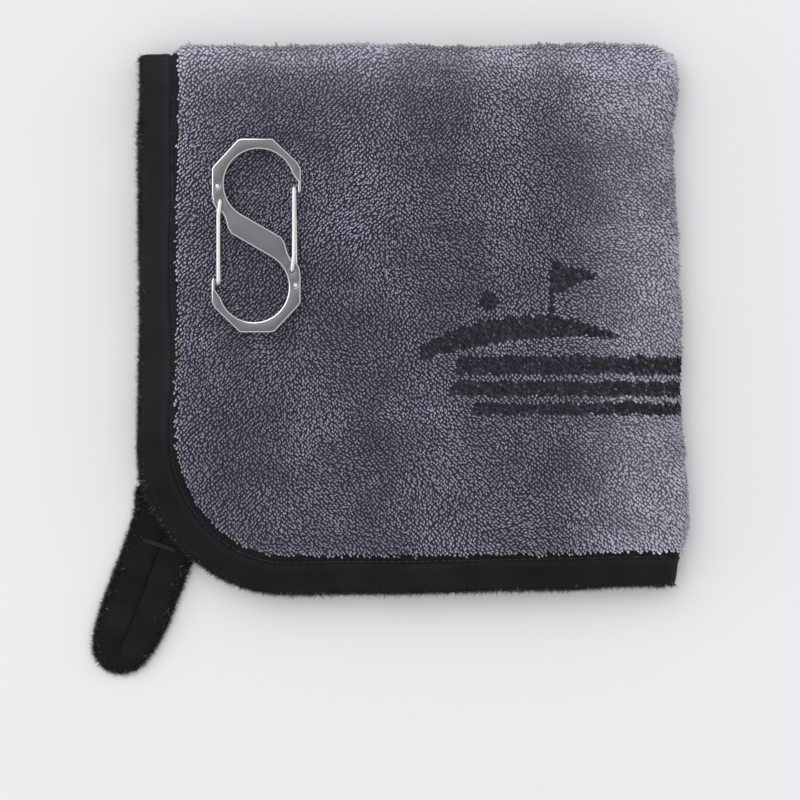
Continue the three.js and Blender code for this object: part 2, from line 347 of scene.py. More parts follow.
def vertex_places(mesh):
    places = np.empty(len(mesh.vertices) * 3)
    mesh.vertices.foreach_get("co", places)
    return places.reshape(-1, 3)


def move_vertices(mesh, places):
    mesh.vertices.foreach_set("co", np.ascontiguousarray(places, dtype=np.float32).ravel())
    mesh.update()


def point_attribute(mesh, name, values):
    attribute = mesh.attributes.new(name, "FLOAT", "POINT")
    attribute.data.foreach_set("value", np.asarray(values, dtype=np.float32))


def vector_attribute(mesh, name, values):
    attribute = mesh.attributes.new(name, "FLOAT_VECTOR", "POINT")
    attribute.data.foreach_set("vector", np.ascontiguousarray(values, dtype=np.float32).ravel())


def grid_mesh(name, columns, rows, place):
    """A grid with a line for each column and row value, put where place(column, row) says."""
    bm = bmesh.new()
    bmesh.ops.create_grid(bm, x_segments=len(columns) - 1, y_segments=len(rows) - 1, size=1.0)
    mesh = mesh_from(bm, name)
    flat = vertex_places(mesh)
    u = np.interp(flat[:, 0], np.linspace(-1, 1, len(columns)), columns)
    v = np.interp(flat[:, 1], np.linspace(-1, 1, len(rows)), rows)
    move_vertices(mesh, place(u, v))
    return mesh, u, v


def weld(mesh, distance=1e-6, outward=False, close=False):
    """Joins vertices that meet, and if asked closes open ends and turns the faces outward."""
    bm = bmesh.new()
    bm.from_mesh(mesh)
    bmesh.ops.remove_doubles(bm, verts=bm.verts, dist=distance)
    if close:
        rims = [edge for edge in bm.edges if edge.is_boundary]
        bmesh.ops.holes_fill(bm, edges=rims, sides=0)
    if outward:
        bmesh.ops.recalc_face_normals(bm, faces=bm.faces)
    bm.to_mesh(mesh)
    bm.free()
    mesh.update()


POINT = 1e-4    # radius of a column's end before its ring is closed to a point


def ringed_column(name, sides, rings):
    """A small closed column of unit height: each ring is (height, radius), and its top comes to a point."""
    bm = bmesh.new()
    verts = bmesh.ops.create_circle(bm, segments=sides, radius=1.0, cap_ends=False)["verts"]
    edges = list(bm.edges)
    height, radius = 0.0, 1.0
    for step, (next_height, next_radius) in enumerate(rings):
        if step:
            grown = bmesh.ops.extrude_edge_only(bm, edges=edges)["geom"]
            verts = [item for item in grown if isinstance(item, bmesh.types.BMVert)]
            edges = [item for item in grown if isinstance(item, bmesh.types.BMEdge)]
        next_radius = max(next_radius, POINT)
        bmesh.ops.scale(bm, vec=(next_radius / radius, next_radius / radius, 1.0), verts=verts)
        bmesh.ops.translate(bm, vec=(0.0, 0.0, next_height - height), verts=verts)
        height, radius = next_height, next_radius
    bmesh.ops.remove_doubles(bm, verts=bm.verts, dist=1e-3)
    bmesh.ops.recalc_face_normals(bm, faces=bm.faces)
    return mesh_from(bm, name)


def repeated(template, count, name):
    """One mesh that holds count copies of a small one, all in the same place."""
    whole = bmesh.new()
    block = template
    left = count
    while left:
        if left & 1:
            whole.from_mesh(block)
        left >>= 1
        if left:
            double = bmesh.new()
            double.from_mesh(block)
            double.from_mesh(block)
            block = mesh_from(double, name + "_block")
    return mesh_from(whole, name)


def planted(name, template, roots, axes, girth, height, lean, bow=1.7):
    """Copies of a column standing at the roots, each leaning its own way along the surface.

    axes are the two ways along the surface and the way out of it, and lean is how far the tip
    is carried along each of the first two.
    """
    count = len(roots)
    mesh = repeated(template, count, name)
    shape = vertex_places(template)
    across, up, out = axes
    x = shape[None, :, 0, None] * girth[:, None, None]
    y = shape[None, :, 1, None] * girth[:, None, None]
    z = shape[None, :, 2, None]
    carried = np.clip(z, 0.0, 1.0) ** bow
    places = (
        roots[:, None, :]
        + across[:, None, :] * (x + carried * lean[0][:, None, None])
        + up[:, None, :] * (y + carried * lean[1][:, None, None])
        + out[:, None, :] * z * height[:, None, None]
    )
    # nothing reaches below the surface the towel lies on
    places[..., 2] = np.maximum(places[..., 2], 0.02 * MM)
    move_vertices(mesh, places.reshape(-1, 3))
    bake_cells(mesh, shape, count)
    return mesh


def bake_cells(mesh, shape, count):
    """Gives each copy its own square of the piece's map, its tip in the middle and its root outside."""
    side = math.ceil(math.sqrt(count))
    turn = np.arctan2(shape[:, 1], shape[:, 0])
    out = 0.44 * (1.0 - 0.999 * np.clip(shape[:, 2] / shape[:, 2].max(), 0, 1))
    cell = np.arange(count)
    u = (cell[:, None] % side + 0.5 + out * np.cos(turn)) / side
    v = (cell[:, None] // side + 0.5 + out * np.sin(turn)) / side
    per_vertex = np.stack([u.ravel(), v.ravel()], axis=-1)
    corners = np.empty(len(mesh.loops), dtype=np.int64)
    mesh.loops.foreach_get("vertex_index", corners)
    layer = mesh.uv_layers.new(name="OFBake")
    layer.data.foreach_set("uv", np.ascontiguousarray(per_vertex[corners], dtype=np.float32).ravel())


def shaded(mesh, angle=None):
    """Smooth shading, with edges sharper than the angle left crisp."""
    mesh.shade_smooth()
    if angle is not None:
        mesh.set_sharp_from_angle(angle=math.radians(angle))


def piece(name, mesh, materials, body=None, stands_for=()):
    obj = bpy.data.objects.new(name, mesh)
    bpy.context.scene.collection.objects.link(obj)
    for material in materials:
        mesh.materials.append(material)
    if body:
        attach(obj, body)
    if stands_for:
        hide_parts(*stands_for)
    return obj


def thicken(obj, thickness, offset):
    wall = obj.modifiers.new("thickness", "SOLIDIFY")
    wall.thickness = thickness
    wall.offset = offset


# ---- Finishes ----


def put(tree, kind, inputs=None, **settings):
    """A node with its settings, and its inputs given values or joined to other nodes' outputs."""
    node = tree.nodes.new(kind)
    for name, value in settings.items():
        setattr(node, name, value)
    for key, value in (inputs or {}).items():
        if isinstance(value, bpy.types.NodeSocket):
            tree.links.new(value, node.inputs[key])
        else:
            node.inputs[key].default_value = value
    return node


def attribute(tree, name, output="Fac"):
    return put(tree, "ShaderNodeAttribute", attribute_name=name).outputs[output]


def worked_out(tree, operation, *values):
    return put(tree, "ShaderNodeMath", dict(enumerate(values)), operation=operation).outputs[0]


def noise(tree, place, scale, detail, **more):
    values = {"Vector": place, "Scale": scale, "Detail": detail, **more}
    return put(tree, "ShaderNodeTexNoise", values).outputs["Fac"]


def ramp(tree, factor, stops):
    node = put(tree, "ShaderNodeValToRGB", {"Fac": factor})
    elements = node.color_ramp.elements
    while len(elements) < len(stops):
        elements.new(0.5)
    for element, (position, colour) in zip(elements, stops):
        element.position = position
        element.color = (*colour, 1.0)
    return node.outputs["Color"]


def grey(value):
    return (value, value, value)


def times(share, colour):
    return tuple(share * part for part in colour)


def blend_colours(tree, factor, first, second, blend="MIX"):
    sockets = {0: factor, 6: first, 7: second}
    values = {
        key: (*value, 1.0) if isinstance(value, tuple) else value for key, value in sockets.items()}
    return put(tree, "ShaderNodeMix", values, data_type="RGBA", blend_type=blend).outputs[2]


def new_material(name, **fixed):
    """A material with its shader's own values, which are the same all over the surface."""
    material = bpy.data.materials.new(name)
    material.use_nodes = True
    tree = material.node_tree
    shader = tree.nodes["Principled BSDF"]
    for key, value in fixed.items():
        shader.inputs[key.replace("_", " ")].default_value = value
    return material, tree, shader


def dress(tree, shader, colour, factor, stops, relief=None):
    """Gives a shader its colour, a roughness that follows a factor, and a fine relief.

    stops are (factor, roughness), and relief is a height, its strength and its depth.
    """
    tree.links.new(colour, shader.inputs["Base Color"])
    roughness = ramp(tree, factor, [(position, grey(value)) for position, value in stops])
    tree.links.new(roughness, shader.inputs["Roughness"])
    if relief:
        height, strength, depth = relief
        bump = put(tree, "ShaderNodeBump", {"Height": height, "Strength": strength, "Distance": depth})
        tree.links.new(bump.outputs["Normal"], shader.inputs["Normal"])


def object_places(tree, stretch=(1.0, 1.0, 1.0), turn=0.0):
    coordinates = put(tree, "ShaderNodeTexCoord")
    return put(tree, "ShaderNodeMapping", {
        "Vector": coordinates.outputs["Object"], "Scale": stretch, "Rotation": (0.0, 0.0, turn),
    }).outputs["Vector"]


def uneven_group():
    """Slow and quick unevenness together, as dye, wear and handling leave it."""
    group = bpy.data.node_groups.get("uneven_finish")
    if group:
        return group
    group = bpy.data.node_groups.new("uneven_finish", "ShaderNodeTree")
    group.interface.new_socket("Place", in_out="INPUT", socket_type="NodeSocketVector")
    for name, value in (("Slow scale", 60.0), ("Quick scale", 900.0), ("Quick share", 0.4)):
        socket = group.interface.new_socket(name, in_out="INPUT", socket_type="NodeSocketFloat")
        socket.default_value = value
    group.interface.new_socket("Value", in_out="OUTPUT", socket_type="NodeSocketFloat")
    given = put(group, "NodeGroupInput").outputs
    slow = noise(group, given["Place"], given["Slow scale"], 3.0)
    quick = noise(group, given["Place"], given["Quick scale"], 2.0)
    both = put(group, "ShaderNodeMix", {0: given["Quick share"], 2: slow, 3: quick}, data_type="FLOAT")
    put(group, "NodeGroupOutput", {"Value": both.outputs[0]})
    return group


def uneven(tree, place, slow, quick, share):
    return put(tree, "ShaderNodeGroup", {
        "Place": place, "Slow scale": slow, "Quick scale": quick, "Quick share": share,
    }, node_tree=uneven_group()).outputs["Value"]


def pile_finish(finishes):
    """Looped pile: dark at the roots with painted shade, pale at the tips, each tuft its own tone, greyed
    with painted light at the rims and over the folds, dyed for the motif.
    """
    material, tree, shader = new_material(
        "pile_tufts", Sheen_Weight=0.16, Sheen_Roughness=0.45, Specular_IOR_Level=0.25,
        Sheen_Tint=(0.82, 0.80, 0.86, 1.0))
    tip = attribute(tree, "tip")
    root_shade = tuple(finishes.pile_root_shade)
    end = tuple(finishes.pile_tip)
    middle = tuple(0.62 * r + 0.38 * e for r, e in zip(root_shade, end))
    # painted shade: the colour runs from the dark root shade at the tufts' roots to the tip colour
    along = ramp(tree, tip, [(0.0, root_shade), (0.5, middle), (1.0, end)])
    place = object_places(tree)
    patch = uneven(tree, place, 55.0, 2300.0, 0.5)
    shade = put(tree, "ShaderNodeMapRange", {
        "Value": patch, "From Min": 0.3, "From Max": 0.7, "To Min": 0.68, "To Max": 1.30})
    value = worked_out(tree, "MULTIPLY", attribute(tree, "tone"), shade.outputs["Result"])
    strength = worked_out(tree, "MULTIPLY_ADD", attribute(tree, "grey_and_painted_light"), -0.85, 1.0)
    toned = put(tree, "ShaderNodeHueSaturation", {"Color": along, "Value": value, "Saturation": strength})
    print_tip = tuple(finishes.printed)
    # painted shade: the printed tufts also darken towards their roots
    printed = ramp(tree, tip, [(0.0, times(0.3, print_tip)), (1.0, print_tip)])
    colour = blend_colours(tree, attribute(tree, "dyed"), toned.outputs["Color"], printed)
    fibres = noise(tree, place, 3200.0, 2.0)
    dress(tree, shader, colour, patch, [(0.3, 0.78), (0.7, 0.94)], (fibres, 0.5, 0.15 * MM))
    return material


def ground_finish(finishes):
    """The knitted ground that shows in the depth between tufts, coloured from the painted root shade and
    paled with painted light over the folds.
    """
    material, tree, shader = new_material("knitted_ground", Sheen_Weight=0.15, Specular_IOR_Level=0.2)
    place = object_places(tree)
    knots = put(tree, "ShaderNodeTexVoronoi", {"Vector": place, "Scale": 700.0}).outputs["Distance"]
    patch = uneven(tree, place, 50.0, 900.0, 0.4)
    root_shade = finishes.pile_root_shade
    deep = blend_colours(tree, knots, times(0.55, root_shade), times(2.2, root_shade))
    shade = blend_colours(tree, patch, deep, times(1.6, root_shade))
    # painted light: over the folds the ground is blended towards the pale tip colour
    colour = blend_colours(tree, attribute(tree, "painted_fold_light"), shade, times(0.62, finishes.pile_tip))
    dress(tree, shader, colour, patch, [(0.3, 0.85), (0.7, 0.96)], (knots, 0.7, 0.4 * MM))
    return material


def tape_finish(finishes):
    """Brushed black knit: fine ribs across the tape, soft nap over them, and paler where painted light and
    some wear are marked on it.
    """
    material, tree, shader = new_material(
        "brushed_knit_tape", Sheen_Weight=0.05, Sheen_Roughness=0.5, Specular_IOR_Level=0.10,
        Sheen_Tint=(0.75, 0.76, 0.78, 1.0))
    rib_pitch = 1.25
    split = put(tree, "ShaderNodeSeparateXYZ", {"Vector": attribute(tree, "run", "Vector")})
    place = object_places(tree)
    patch = uneven(tree, place, 70.0, 1400.0, 0.5)
    offset = worked_out(tree, "MULTIPLY", noise(tree, place, 180.0, 2.0), 2.4)
    turns = worked_out(tree, "MULTIPLY_ADD", split.outputs["X"], TAU / rib_pitch, offset)
    rib = worked_out(tree, "MULTIPLY_ADD", worked_out(tree, "SINE", turns), 0.5, 0.5)
    nap = noise(tree, place, 2600.0, 3.0, Roughness=0.7)
    base = finishes.tape
    lifted = blend_colours(tree, rib, times(0.72, base), times(1.25, base))
    napped = blend_colours(tree, nap, lifted, times(1.9, base))
    shade = ramp(tree, patch, [(0.3, grey(0.78)), (0.72, grey(1.25))])
    shaded_nap = blend_colours(tree, 1.0, napped, shade, "MULTIPLY")
    # painted light and shade with wear: the tape is up to 3.4 times paler where the attribute is high
    lighter = blend_colours(tree, attribute(tree, "wear_and_painted_shading"), grey(1.0), grey(3.4))
    colour = blend_colours(tree, 1.0, shaded_nap, lighter, "MULTIPLY")
    height = worked_out(tree, "MULTIPLY_ADD", nap, 0.9, rib)
    dress(tree, shader, colour, nap, [(0.3, 0.82), (0.7, 0.97)], (height, 0.42, 0.20 * MM))
    return material


def thread_finish(finishes):
    """Twisted polyester thread, a little glossier than the tape."""
    material, tree, shader = new_material("sewing_thread", Sheen_Weight=0.2, Specular_IOR_Level=0.45)
    ply = put(tree, "ShaderNodeTexWave", {
        "Vector": object_places(tree), "Scale": 1300.0, "Distortion": 1.5}, wave_type="BANDS").outputs["Fac"]
    colour = blend_colours(tree, ply, times(0.6, finishes.thread), times(1.7, finishes.thread))
    dress(tree, shader, colour, ply, [(0.2, 0.5), (0.8, 0.72)], (ply, 0.5, 0.1 * MM))
    return material


def nap_finish(finishes):
    """Loose fibres standing off the tape, from black to lint grey."""
    material, tree, shader = new_material("tape_nap", Specular_IOR_Level=0.3)
    base = tuple(finishes.tape)
    lint = (0.42, 0.41, 0.42)
    colour = ramp(tree, attribute(tree, "tone"), [(0.0, base), (0.7, times(3.0, base)), (1.0, lint)])
    grain = uneven(tree, object_places(tree), 300.0, 2600.0, 0.5)
    dress(tree, shader, colour, grain, [(0.3, 0.7), (0.7, 0.9)])
    return material


def blasted_steel(finishes):
    """Bead-blasted plate faces: even satin with a fine grain and faint handling marks."""
    material, tree, shader = new_material("blasted_steel", Metallic=1.0)
    place = object_places(tree)
    grain = noise(tree, place, 5200.0, 2.0)
    drawn = noise(tree, object_places(tree, (260.0, 5200.0, 5200.0), 0.5), 1.0, 2.0)
    patch = uneven(tree, place, 130.0, 4200.0, 0.25)
    base = finishes.steel
    colour = blend_colours(tree, patch, times(0.86, base), times(1.12, base))
    lined = blend_colours(tree, drawn, times(0.80, base), colour)
    dress(tree, shader, lined, patch, [(0.3, 0.40), (0.7, 0.50)], (grain, 0.16, 0.06 * MM))
    return material


def polished_steel(name, colour, low, high):
    """Tumble-polished metal with fine scratches and a trace of haze."""
    material, tree, shader = new_material(name, Metallic=1.0)
    patch = uneven(tree, object_places(tree), 160.0, 3600.0, 0.35)
    scratch = noise(tree, object_places(tree, (900.0, 140.0, 900.0), 0.3), 3.0, 3.0)
    wear_and_painted_shading = blend_colours(tree, scratch, times(0.88, colour), tuple(colour))
    dress(tree, shader, wear_and_painted_shading, patch, [(0.3, low), (0.7, high)], (scratch, 0.08, 0.05 * MM))
    return material


def floor_finish(finishes):
    material, tree, shader = new_material("plain_floor", Specular_IOR_Level=0.1)
    grain = uneven(tree, object_places(tree), 6.0, 60.0, 0.3)
    colour = blend_colours(tree, grain, times(0.992, finishes.floor), times(1.008, finishes.floor))
    dress(tree, shader, colour, grain, [(0.3, 0.85), (0.7, 0.9)])
    return material


def finish_named(name, maker, *values):
    """A finish made once, and used again by the pieces that share it."""
    return bpy.data.materials.get(name) or maker(*values)


# ---- Cloth ----


class CLOTH_OT_fold(Operator):
    """Cut the pile cloth's ground to its rounded outline and fold it in four"""

    bl_idname = "golf_towel.fold_cloth"
    bl_label = "Folded cloth"

    def execute(self, context):
        sizes = context.scene.towel_sizes
        fold = Fold(sizes)
        margin = 1.2 * MM
        step = 2.6 * MM

        def place(a, b):
            for middle_a, reach_a in ((fold.corner, margin - fold.corner),
                                      (fold.width - fold.corner, fold.corner - margin)):
                for middle_b, reach_b in ((fold.corner, margin - fold.corner),
                                          (fold.height - fold.corner, fold.corner - margin)):
                    a, b = pull_in_corner(a, b, middle_a, middle_b, reach_a, reach_b)
            return fold.lay(a, b, np.zeros_like(a))

        mesh, a, b = grid_mesh(
            "towel_ground",
            fold.columns(step, 0.7 * MM, margin, fold.width - margin),
            fold.rows(step, 0.5 * MM, margin, fold.height - margin),
            place,
        )
        # painted light: the ground is paled over the folds, except where the motif is printed
        undyed = 1.0 - motif(a + BOUND_LEFT, b + BOUND_BOTTOM)
        point_attribute(mesh, "painted_fold_light", fold_light_mask(fold, a, b) / MOST_FOLD_LIGHT * undyed)
        shaded(mesh)
        material = finish_named("knitted_ground", ground_finish, context.scene.towel_finishes)
        cloth = piece("towel_ground", mesh, [material], "towel", ["towel_cloth"])
        thicken(cloth, sizes.ground, 0.0)
        return {"FINISHED"}


# ---- Pile ----


def motif(x, y):
    """1 where the generic golf motif is printed: a hill with a flag and ball over three stripes."""
    x = x / MM
    y = y / MM
    mask = np.zeros_like(x)
    # three tapering stripes with slanted ends that run over the right fold
    for low, high, start in ((-6.2, 0.6, 24.0), (-14.0, -8.6, 21.5), (-20.8, -16.6, 30.0)):
        slanted = x - start - 0.35 * (y - low)
        mask = np.where((y > low) & (y < high) & (slanted > 0) & (slanted < 118.0), 1.0, mask)
    # the hill, a band between two arcs that thins to the left
    middle = (x - 52.0) / 40.0
    crest = 15.5 - 11.0 * middle ** 2
    foot = 7.0 - 4.0 * middle ** 2 + 3.5 * middle
    mask = np.where((np.abs(middle) < 1) & (y < crest) & (y > foot), 1.0, mask)
    # flag stick, pennant and ball
    stick = 60.0 + 0.06 * (y - 14.0)
    mask = np.where((np.abs(x - stick) < 1.0) & (y > 13) & (y < 36), 1.0, mask)
    fly = (x - stick) / 17.0
    mask = np.where((fly > 0) & (fly < 1) & (y < 35.5 - 5.0 * fly) & (y > 23.5 + 6.0 * fly), 1.0, mask)
    mask = np.where(np.hypot(x - 37.0, y - 21.0) < 3.3, 1.0, mask)
    return mask


def pile_inset(a, b):
    """How far from the bound edge the pile begins at each side and corner."""
    left = smooth((0.075 - a) / 0.045)
    bottom = smooth((0.075 - b) / 0.045)
    left_side = (12.6 + 1.1 * smooth((b - 0.080) / 0.030)) * left
    bottom_side = 13.6 * bottom * (1 - left)
    corner = 1.6 * left * bottom
    elsewhere = 12.9 * (1 - left) * (1 - bottom)
    return (left_side + bottom_side + corner + elsewhere) * MM


def surface_runs(fold, past_top):
    """Distances over the outside of the folded pile for those on the open towel, across it and up it."""
    # how far along the other way the measuring lines run, which is clear of its folds and edges
    halfway = 0.10
    stand = 1.3 * MM
    runs = []
    for way, reach in enumerate((fold.width, past_top)):
        flat = np.linspace(0.0, reach, 1500)
        still = np.full_like(flat, halfway)
        a, b = (still, flat) if way else (flat, still)
        here = fold.lay(a, b, np.full_like(flat, stand))
        steps = np.linalg.norm(np.diff(here, axis=0), axis=-1)
        runs.append((flat, np.concatenate(([0.0], np.cumsum(steps)))))
    return runs


def scatter(rng, spacing, runs, a_range, b_range):
    """Places on diagonal rows a spacing apart, as a knit sets them, each a little off its row."""
    (a_flat, a_over), (b_flat, b_over) = runs
    left, right = np.interp(a_range, a_flat, a_over)
    low, high = np.interp(b_range, b_flat, b_over)
    reach = math.ceil((right + high) / spacing)
    steps = np.arange(-reach, reach) * spacing
    u, v = np.meshgrid(steps, steps)
    across = ((u - v) / math.sqrt(2.0)).ravel()
    up = ((u + v) / math.sqrt(2.0)).ravel()

    def within(margin):
        near_across = (across > left - margin) & (across < right + margin)
        return near_across & (up > low - margin) & (up < high + margin)

    near = within(2 * MM)
    across, up = across[near], up[near]
    sway = 0.8 * MM * ripple(across, up, 0.045, 57)
    up = up + 0.8 * MM * ripple(across, up, 0.045, 58)
    across = across + sway
    inside = within(0.0)
    across, up = across[inside], up[inside]
    astray = 0.16 * spacing
    across = across + rng.normal(0.0, astray, across.size)
    up = up + rng.normal(0.0, astray, up.size)
    return np.interp(across, a_over, a_flat), np.interp(up, b_over, b_flat)


MOST_FOLD_LIGHT = 1.35    # the most that fold_light_mask gives


def fold_light_mask(fold, a, b):
    """How far towards the top and right folds the pile is, from 0; it sets how much painted light pales the
    pile and the ground there, and how much girth the tufts gain.
    """
    from_top = np.maximum(fold.top_start - b, 0.0) / MM
    top = 0.92 * np.exp(-from_top / 14.7) + 0.75 * np.exp(-from_top / 4.4)
    right = 0.95 * smooth((a + BOUND_LEFT - 0.0577) / 0.0422) * (a < fold.side_end)
    return np.minimum(top + right, MOST_FOLD_LIGHT)


class CLOTH_OT_pile(Operator):
    """Plant the pile tufts on the faces of the folded cloth that show"""

    bl_idname = "golf_towel.plant_pile"
    bl_label = "Pile"

    def execute(self, context):
        sizes = context.scene.towel_sizes
        fold = Fold(sizes)
        rng = np.random.default_rng(404)
        material = finish_named("pile_tufts", pile_finish, context.scene.towel_finishes)
        tuft = ringed_column("tuft", 4, [(0.0, 0.42), (0.42, 0.56), (0.82, 0.40), (1.0, 0.0)])
        past_top = fold.top_end + 1.2 * MM
        runs = surface_runs(fold, past_top)
        # under the binding, past the right fold, and back from the top fold
        edge = 0.011
        back = fold.side_end + 0.003
        under = fold.top_start - 0.004
        far = fold.width - edge
        quarter = fold.side_start / 4
        pitch = sizes.pile_pitch
        areas = [
            ("pile_front_left", (edge, quarter), (edge, fold.top_start), pitch),
            ("pile_front_mid_left", (quarter, 2 * quarter), (edge, fold.top_start), pitch),
            ("pile_front_mid_right", (2 * quarter, 3 * quarter), (edge, fold.top_start), pitch),
            ("pile_front_right", (3 * quarter, fold.side_start), (edge, fold.top_start), pitch),
            ("pile_side_fold", (fold.side_start, back), (edge, past_top), pitch),
            ("pile_top_fold", (edge, fold.side_start), (fold.top_start, past_top), pitch),
            ("pile_back_fold", (back, far), (under, past_top), 1.25 * pitch),
            ("pile_underside", (back, far), (edge, under), 1.9 * pitch),
        ]
        for name, a_range, b_range, spacing in areas:
            self.plant(name, fold, rng, tuft, runs, a_range, b_range, spacing, sizes, material)
        return {"FINISHED"}

    def plant(self, name, fold, rng, tuft, runs, a_range, b_range, spacing, sizes, material):
        a, b = scatter(rng, spacing, runs, a_range, b_range)
        side_a = np.minimum(a, fold.width - a)
        inset = inset_from_edges(side_a, np.minimum(b, fold.height - b), fold.corner)
        ragged = 0.35 * MM * ripple(a, b, 0.006, 51) + rng.normal(0.0, 0.18 * MM, a.size)
        keep = inset > pile_inset(side_a, b) + ragged
        a, b, inset = a[keep], b[keep], inset[keep]
        count = a.size
        # roots sit just inside the ground's face
        roots, across, up, out = fold.axes(a, b, np.full(count, sizes.ground * 0.42))
        x, y = a + BOUND_LEFT, b + BOUND_BOTTOM
        dyed = motif(x + rng.normal(0.0, 0.25 * MM, count), y + rng.normal(0.0, 0.25 * MM, count))
        dyed = dyed * (1.0 - 0.4 * rng.random(count) ** 6)
        # the nap lies in patches, mostly down and to one side or the other
        heading = (
            math.radians(240)
            + math.radians(65) * smooth((x - 0.6 * y + 0.075) / 0.085)
            + 0.42 * ripple(a, b, 0.045, 52)
            + 0.24 * ripple(a, b, 0.009, 53)
            + rng.normal(0.0, 0.26, count)
        )
        size = max(1.0, spacing / sizes.pile_pitch)
        fold_light_share = fold_light_mask(fold, a, b)
        # tufts whose sides show at the rim of the folds stand higher; their colour there is painted greyer,
        # standing in for light coming through the fibres, and a little darker
        sideways = smooth((0.80 - out[:, 2]) / 0.75)
        girth = spacing * (0.66 + 0.07 * rng.standard_normal(count)) * (1 - 0.05 * dyed)
        girth = girth * (1.0 + 0.27 * np.minimum(fold_light_share, 1.3))
        height = sizes.pile_height * (0.96 + 0.13 * ripple(a, b, 0.012, 54) + rng.normal(0.0, 0.11, count))
        height = np.clip(height, 0.55 * sizes.pile_height, 1.5 * sizes.pile_height) * (1 - 0.22 * dyed)
        height = height * (1.0 + sideways * np.clip(rng.normal(0.30, 0.22, count), -0.1, 0.9))
        reach = spacing * (0.80 + rng.normal(0.0, 0.16, count)) / size ** 0.5
        lean = (reach * np.cos(heading), reach * np.sin(heading))
        mesh = planted(name, tuft, roots, (across, up, out), girth, height, lean)
        slow = 0.20 * ripple(a, b, 0.055, 55) + 0.10 * ripple(a, b, 0.017, 56)
        # tufts clump in short slanting strokes
        stroke = 0.11 * ripple(a + b, (a - b) * 0.35, 0.0026, 59)
        # painted light: tufts that lean to the light at the top left are coloured paler, as are those over
        # the folds and those near the left edge
        lit = 0.10 * np.cos(heading - math.radians(120))
        fold_light = 0.15 * fold_light_share + 0.30 * np.exp(-(a / MM - 12.0) / 10.0)
        # painted shade and light: the pile is coloured darker towards the lower left corner, and a low band
        # to its right paler
        painted_corner_shading = -0.14 * smooth((0.120 - a) / 0.070) * smooth((0.130 - b) / 0.060)
        painted_light_band = np.exp(-((b / MM - 32.0) / 16.0) ** 2)
        painted_corner_shading = painted_corner_shading + 0.06 * smooth((a - 0.110) / 0.050) * painted_light_band
        tone = 1.14 + slow + stroke + lit + fold_light + painted_corner_shading + rng.normal(0.0, 0.12, count)
        # the tufts beside the tape are pressed open by its seam
        margin = smooth((0.0175 - inset) / 0.004) * 0.12
        tone = np.clip((tone + margin) * (1.0 - 0.22 * sideways), 0.45, 3.2)
        # grey and painted light: tufts are greyed at the rims and over the folds as painted light, and
        # greyed beside the tape
        grey_and_painted_light = np.maximum(sideways, 0.7 * smooth((0.0160 - inset) / 0.003))
        grey_and_painted_light = np.maximum(grey_and_painted_light, 0.42 * np.clip(fold_light_share, 0.0, 1.0))
        vertices = len(tuft.vertices)
        for attribute_name, values in (("tone", tone), ("dyed", dyed), ("grey_and_painted_light", grey_and_painted_light)):
            point_attribute(mesh, attribute_name, np.repeat(values, vertices))
        # painted light over the folds: there the tufts' colour is moved towards their pale tips, so the
        # painted shade at their roots does not show
        painted_fold_light = np.repeat(0.54 * fold_light_share * (1 - 0.6 * dyed), vertices)
        height_on_tuft = np.tile(vertex_places(tuft)[:, 2], count)
        point_attribute(mesh, "tip", painted_fold_light + (1.0 - 0.75 * painted_fold_light) * height_on_tuft)
        shaded(mesh)
        piece(name, mesh, [material], "towel")


# ---- Binding ----


BINDING_PROFILE = (
    # inset from the outer edge, and height over the cloth's middle
    (14.2, 0.50), (13.5, 0.74), (12.9, 0.96), (12.35, 0.98), (11.9, 0.74), (11.45, 0.56), (11.0, 0.78),
    (10.5, 1.12), (9.8, 1.26), (8.8, 1.24), (7.4, 1.16), (5.6, 1.20), (4.0, 1.22), (2.4, 1.16), (1.3, 1.00),
    (0.6, 0.72), (0.2, 0.38), (0.0, 0.0),
)


def binding_profile(v):
    """Inset and height along the tape, from its edge on the front face round to its edge on the back."""
    insets = [p[0] for p in BINDING_PROFILE] + [p[0] for p in reversed(BINDING_PROFILE[:-1])]
    heights = [p[1] for p in BINDING_PROFILE] + [-p[1] for p in reversed(BINDING_PROFILE[:-1])]
    steps = np.arange(len(insets))
    return np.interp(v, steps, insets) * MM, np.interp(v, steps, heights) * MM


def outline_stations(fold, step, fine):
    """Distances round the bound edge, closer together where it goes over a fold."""
    length = fold.outline_length()
    straight_a = fold.width - 2 * fold.corner
    straight_b = fold.height - 2 * fold.corner
    arc = math.pi / 2 * fold.corner
    left_fold = straight_b / 2
    bottom_fold = straight_b + arc + straight_a / 2
    right_fold = straight_b * 1.5 + 2 * arc + straight_a
    top_fold = 2 * straight_b + 3 * arc + straight_a * 1.5
    breaks = [(0.0, step)]
    reach_a, reach_b = 7.8 * MM, 4.5 * MM
    folds = ((left_fold, reach_b), (bottom_fold, reach_a), (right_fold, reach_b), (top_fold, reach_a))
    for middle, reach in folds:
        breaks.extend([(middle - reach, fine), (middle + reach, step)])
    breaks.append((length, step))
    return spaced(breaks)


